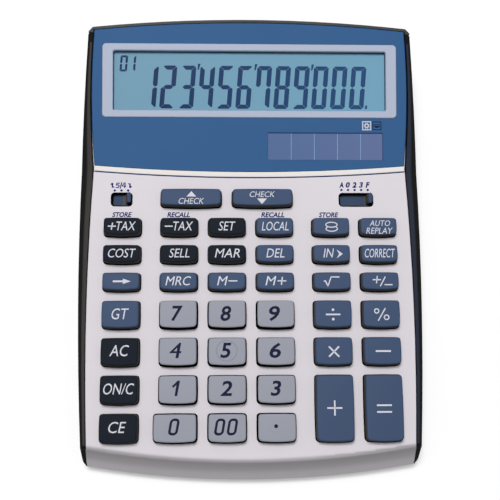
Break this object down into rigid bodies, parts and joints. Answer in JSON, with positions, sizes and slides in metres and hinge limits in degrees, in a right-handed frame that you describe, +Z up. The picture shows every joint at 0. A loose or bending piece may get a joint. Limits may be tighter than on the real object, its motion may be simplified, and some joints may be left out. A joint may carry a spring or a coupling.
{
  "type": "desktop calculator",
  "caption": "Desktop calculator with a wide tilted display, solar cell, sprung keys and two slide switches on a silver deck between dark side rails.",
  "frame": {"origin": "middle of the footprint, on the desk under the rubber feet", "axes": "+Z up, +Y from the front lip to the rear wall, +X to the right of the person who uses it"},
  "size_m": [0.1296, 0.1744, 0.0335],
  "materials": {
    "silver_case": "satin, fine grain",
    "black_case": "satin, fine grain",
    "black_rail": "satin",
    "blue_panel": "satin, painted from below",
    "lavender_frame": "satin",
    "clear_window": "clear, polished",
    "display_glass": "grey-blue, polished",
    "solar_glass": "dark blue-grey, polished",
    "cream_strip": "satin",
    "black_key": "satin",
    "grey_key": "satin",
    "slate_key": "satin",
    "switch_knob": "satin",
    "mat_rubber": "matt",
    "board_laminate": "satin solder mask",
    "ribbon_film": "satin film",
    "cell_steel": "brushed",
    "clip_steel": "plain, bent strip",
    "screw_steel": "zinc plated",
    "foot_rubber": "matt"
  },
  "bodies": {
    "case": {"battery_clip": "clip_steel", "button_cell": "cell_steel", "case_screws": "screw_steel", "circuit_board": "board_laminate", "display_frame": "lavender_frame", "display_lens": "clear_window", "display_panel": "blue_panel", "key_mat": "mat_rubber", "lcd_module": "display_glass", "lcd_ribbon": "ribbon_film", "lower_case": "black_case", "rubber_feet": "foot_rubber", "side_rails": "black_rail", "solar_cell": "solar_glass", "trim_strip": "cream_strip", "upper_case": "silver_case"},
    "add_key": {"add_key": "slate_key"},
    "add_tax_key": {"add_tax_key": "black_key"},
    "all_clear_key": {"all_clear_key": "black_key"},
    "auto_replay_key": {"auto_replay_key": "slate_key"},
    "check_down_key": {"check_down_key": "slate_key"},
    "check_up_key": {"check_up_key": "slate_key"},
    "clear_entry_key": {"clear_entry_key": "black_key"},
    "correct_key": {"correct_key": "slate_key"},
    "cost_key": {"cost_key": "black_key"},
    "decimal_point_key": {"decimal_point_key": "grey_key"},
    "delete_key": {"delete_key": "slate_key"},
    "divide_key": {"divide_key": "slate_key"},
    "equals_key": {"equals_key": "slate_key"},
    "grand_total_key": {"grand_total_key": "slate_key"},
    "input_key": {"input_key": "slate_key"},
    "key_0": {"key_0": "grey_key"},
    "key_00": {"key_00": "grey_key"},
    "key_1": {"key_1": "grey_key"},
    "key_2": {"key_2": "grey_key"},
    "key_3": {"key_3": "grey_key"},
    "key_4": {"key_4": "grey_key"},
    "key_5": {"key_5": "grey_key"},
    "key_6": {"key_6": "grey_key"},
    "key_7": {"key_7": "grey_key"},
    "key_8": {"key_8": "grey_key"},
    "key_9": {"key_9": "grey_key"},
    "less_tax_key": {"less_tax_key": "black_key"},
    "local_key": {"local_key": "slate_key"},
    "margin_key": {"margin_key": "black_key"},
    "memory_minus_key": {"memory_minus_key": "slate_key"},
    "memory_plus_key": {"memory_plus_key": "slate_key"},
    "memory_recall_key": {"memory_recall_key": "slate_key"},
    "multiply_key": {"multiply_key": "slate_key"},
    "on_clear_key": {"on_clear_key": "black_key"},
    "percent_key": {"percent_key": "slate_key"},
    "sell_key": {"sell_key": "black_key"},
    "set_key": {"set_key": "black_key"},
    "shift_key": {"shift_key": "slate_key"},
    "sign_key": {"sign_key": "slate_key"},
    "square_root_key": {"square_root_key": "slate_key"},
    "store_key": {"store_key": "slate_key"},
    "subtract_key": {"subtract_key": "slate_key"},
    "rounding_switch_knob": {"rounding_switch_knob": "switch_knob"},
    "decimal_switch_knob": {"decimal_switch_knob": "switch_knob"}
  },
  "joints": [
    {"name": "add_key_press", "type": "slide", "parent": "case", "child": "add_key", "axis": [0, -0.061, 0.9981], "range_m": [-0.002, 0], "stiffness_N_per_m": 350, "deforming": ["key_mat"]},
    {"name": "add_tax_key_press", "type": "slide", "parent": "case", "child": "add_tax_key", "axis": [0, -0.061, 0.9981], "range_m": [-0.002, 0], "stiffness_N_per_m": 350, "deforming": ["key_mat"]},
    {"name": "all_clear_key_press", "type": "slide", "parent": "case", "child": "all_clear_key", "axis": [0, -0.061, 0.9981], "range_m": [-0.002, 0], "stiffness_N_per_m": 350, "deforming": ["key_mat"]},
    {"name": "auto_replay_key_press", "type": "slide", "parent": "case", "child": "auto_replay_key", "axis": [0, -0.061, 0.9981], "range_m": [-0.002, 0], "stiffness_N_per_m": 350, "deforming": ["key_mat"]},
    {"name": "check_down_key_press", "type": "slide", "parent": "case", "child": "check_down_key", "axis": [0, -0.061, 0.9981], "range_m": [-0.002, 0], "stiffness_N_per_m": 350, "deforming": ["key_mat"]},
    {"name": "check_up_key_press", "type": "slide", "parent": "case", "child": "check_up_key", "axis": [0, -0.061, 0.9981], "range_m": [-0.002, 0], "stiffness_N_per_m": 350, "deforming": ["key_mat"]},
    {"name": "clear_entry_key_press", "type": "slide", "parent": "case", "child": "clear_entry_key", "axis": [0, -0.061, 0.9981], "range_m": [-0.002, 0], "stiffness_N_per_m": 350, "deforming": ["key_mat"]},
    {"name": "correct_key_press", "type": "slide", "parent": "case", "child": "correct_key", "axis": [0, -0.061, 0.9981], "range_m": [-0.002, 0], "stiffness_N_per_m": 350, "deforming": ["key_mat"]},
    {"name": "cost_key_press", "type": "slide", "parent": "case", "child": "cost_key", "axis": [0, -0.061, 0.9981], "range_m": [-0.002, 0], "stiffness_N_per_m": 350, "deforming": ["key_mat"]},
    {"name": "decimal_point_key_press", "type": "slide", "parent": "case", "child": "decimal_point_key", "axis": [0, -0.061, 0.9981], "range_m": [-0.002, 0], "stiffness_N_per_m": 350, "deforming": ["key_mat"]},
    {"name": "delete_key_press", "type": "slide", "parent": "case", "child": "delete_key", "axis": [0, -0.061, 0.9981], "range_m": [-0.002, 0], "stiffness_N_per_m": 350, "deforming": ["key_mat"]},
    {"name": "divide_key_press", "type": "slide", "parent": "case", "child": "divide_key", "axis": [0, -0.061, 0.9981], "range_m": [-0.002, 0], "stiffness_N_per_m": 350, "deforming": ["key_mat"]},
    {"name": "equals_key_press", "type": "slide", "parent": "case", "child": "equals_key", "axis": [0, -0.061, 0.9981], "range_m": [-0.002, 0], "stiffness_N_per_m": 350, "deforming": ["key_mat"]},
    {"name": "grand_total_key_press", "type": "slide", "parent": "case", "child": "grand_total_key", "axis": [0, -0.061, 0.9981], "range_m": [-0.002, 0], "stiffness_N_per_m": 350, "deforming": ["key_mat"]},
    {"name": "input_key_press", "type": "slide", "parent": "case", "child": "input_key", "axis": [0, -0.061, 0.9981], "range_m": [-0.002, 0], "stiffness_N_per_m": 350, "deforming": ["key_mat"]},
    {"name": "key_0_press", "type": "slide", "parent": "case", "child": "key_0", "axis": [0, -0.061, 0.9981], "range_m": [-0.002, 0], "stiffness_N_per_m": 350, "deforming": ["key_mat"]},
    {"name": "key_00_press", "type": "slide", "parent": "case", "child": "key_00", "axis": [0, -0.061, 0.9981], "range_m": [-0.002, 0], "stiffness_N_per_m": 350, "deforming": ["key_mat"]},
    {"name": "key_1_press", "type": "slide", "parent": "case", "child": "key_1", "axis": [0, -0.061, 0.9981], "range_m": [-0.002, 0], "stiffness_N_per_m": 350, "deforming": ["key_mat"]},
    {"name": "key_2_press", "type": "slide", "parent": "case", "child": "key_2", "axis": [0, -0.061, 0.9981], "range_m": [-0.002, 0], "stiffness_N_per_m": 350, "deforming": ["key_mat"]},
    {"name": "key_3_press", "type": "slide", "parent": "case", "child": "key_3", "axis": [0, -0.061, 0.9981], "range_m": [-0.002, 0], "stiffness_N_per_m": 350, "deforming": ["key_mat"]},
    {"name": "key_4_press", "type": "slide", "parent": "case", "child": "key_4", "axis": [0, -0.061, 0.9981], "range_m": [-0.002, 0], "stiffness_N_per_m": 350, "deforming": ["key_mat"]},
    {"name": "key_5_press", "type": "slide", "parent": "case", "child": "key_5", "axis": [0, -0.061, 0.9981], "range_m": [-0.002, 0], "stiffness_N_per_m": 350, "deforming": ["key_mat"]},
    {"name": "key_6_press", "type": "slide", "parent": "case", "child": "key_6", "axis": [0, -0.061, 0.9981], "range_m": [-0.002, 0], "stiffness_N_per_m": 350, "deforming": ["key_mat"]},
    {"name": "key_7_press", "type": "slide", "parent": "case", "child": "key_7", "axis": [0, -0.061, 0.9981], "range_m": [-0.002, 0], "stiffness_N_per_m": 350, "deforming": ["key_mat"]},
    {"name": "key_8_press", "type": "slide", "parent": "case", "child": "key_8", "axis": [0, -0.061, 0.9981], "range_m": [-0.002, 0], "stiffness_N_per_m": 350, "deforming": ["key_mat"]},
    {"name": "key_9_press", "type": "slide", "parent": "case", "child": "key_9", "axis": [0, -0.061, 0.9981], "range_m": [-0.002, 0], "stiffness_N_per_m": 350, "deforming": ["key_mat"]},
    {"name": "less_tax_key_press", "type": "slide", "parent": "case", "child": "less_tax_key", "axis": [0, -0.061, 0.9981], "range_m": [-0.002, 0], "stiffness_N_per_m": 350, "deforming": ["key_mat"]},
    {"name": "local_key_press", "type": "slide", "parent": "case", "child": "local_key", "axis": [0, -0.061, 0.9981], "range_m": [-0.002, 0], "stiffness_N_per_m": 350, "deforming": ["key_mat"]},
    {"name": "margin_key_press", "type": "slide", "parent": "case", "child": "margin_key", "axis": [0, -0.061, 0.9981], "range_m": [-0.002, 0], "stiffness_N_per_m": 350, "deforming": ["key_mat"]},
    {"name": "memory_minus_key_press", "type": "slide", "parent": "case", "child": "memory_minus_key", "axis": [0, -0.061, 0.9981], "range_m": [-0.002, 0], "stiffness_N_per_m": 350, "deforming": ["key_mat"]},
    {"name": "memory_plus_key_press", "type": "slide", "parent": "case", "child": "memory_plus_key", "axis": [0, -0.061, 0.9981], "range_m": [-0.002, 0], "stiffness_N_per_m": 350, "deforming": ["key_mat"]},
    {"name": "memory_recall_key_press", "type": "slide", "parent": "case", "child": "memory_recall_key", "axis": [0, -0.061, 0.9981], "range_m": [-0.002, 0], "stiffness_N_per_m": 350, "deforming": ["key_mat"]},
    {"name": "multiply_key_press", "type": "slide", "parent": "case", "child": "multiply_key", "axis": [0, -0.061, 0.9981], "range_m": [-0.002, 0], "stiffness_N_per_m": 350, "deforming": ["key_mat"]},
    {"name": "on_clear_key_press", "type": "slide", "parent": "case", "child": "on_clear_key", "axis": [0, -0.061, 0.9981], "range_m": [-0.002, 0], "stiffness_N_per_m": 350, "deforming": ["key_mat"]},
    {"name": "percent_key_press", "type": "slide", "parent": "case", "child": "percent_key", "axis": [0, -0.061, 0.9981], "range_m": [-0.002, 0], "stiffness_N_per_m": 350, "deforming": ["key_mat"]},
    {"name": "sell_key_press", "type": "slide", "parent": "case", "child": "sell_key", "axis": [0, -0.061, 0.9981], "range_m": [-0.002, 0], "stiffness_N_per_m": 350, "deforming": ["key_mat"]},
    {"name": "set_key_press", "type": "slide", "parent": "case", "child": "set_key", "axis": [0, -0.061, 0.9981], "range_m": [-0.002, 0], "stiffness_N_per_m": 350, "deforming": ["key_mat"]},
    {"name": "shift_key_press", "type": "slide", "parent": "case", "child": "shift_key", "axis": [0, -0.061, 0.9981], "range_m": [-0.002, 0], "stiffness_N_per_m": 350, "deforming": ["key_mat"]},
    {"name": "sign_key_press", "type": "slide", "parent": "case", "child": "sign_key", "axis": [0, -0.061, 0.9981], "range_m": [-0.002, 0], "stiffness_N_per_m": 350, "deforming": ["key_mat"]},
    {"name": "square_root_key_press", "type": "slide", "parent": "case", "child": "square_root_key", "axis": [0, -0.061, 0.9981], "range_m": [-0.002, 0], "stiffness_N_per_m": 350, "deforming": ["key_mat"]},
    {"name": "store_key_press", "type": "slide", "parent": "case", "child": "store_key", "axis": [0, -0.061, 0.9981], "range_m": [-0.002, 0], "stiffness_N_per_m": 350, "deforming": ["key_mat"]},
    {"name": "subtract_key_press", "type": "slide", "parent": "case", "child": "subtract_key", "axis": [0, -0.061, 0.9981], "range_m": [-0.002, 0], "stiffness_N_per_m": 350, "deforming": ["key_mat"]},
    {"name": "rounding_switch_slide", "type": "slide", "parent": "case", "child": "rounding_switch_knob", "axis": [1, 0, 0], "range_m": [-0.00508, 0]},
    {"name": "decimal_switch_slide", "type": "slide", "parent": "case", "child": "decimal_switch_knob", "axis": [1, 0, 0], "range_m": [-0.01016, 0]}
  ]
}
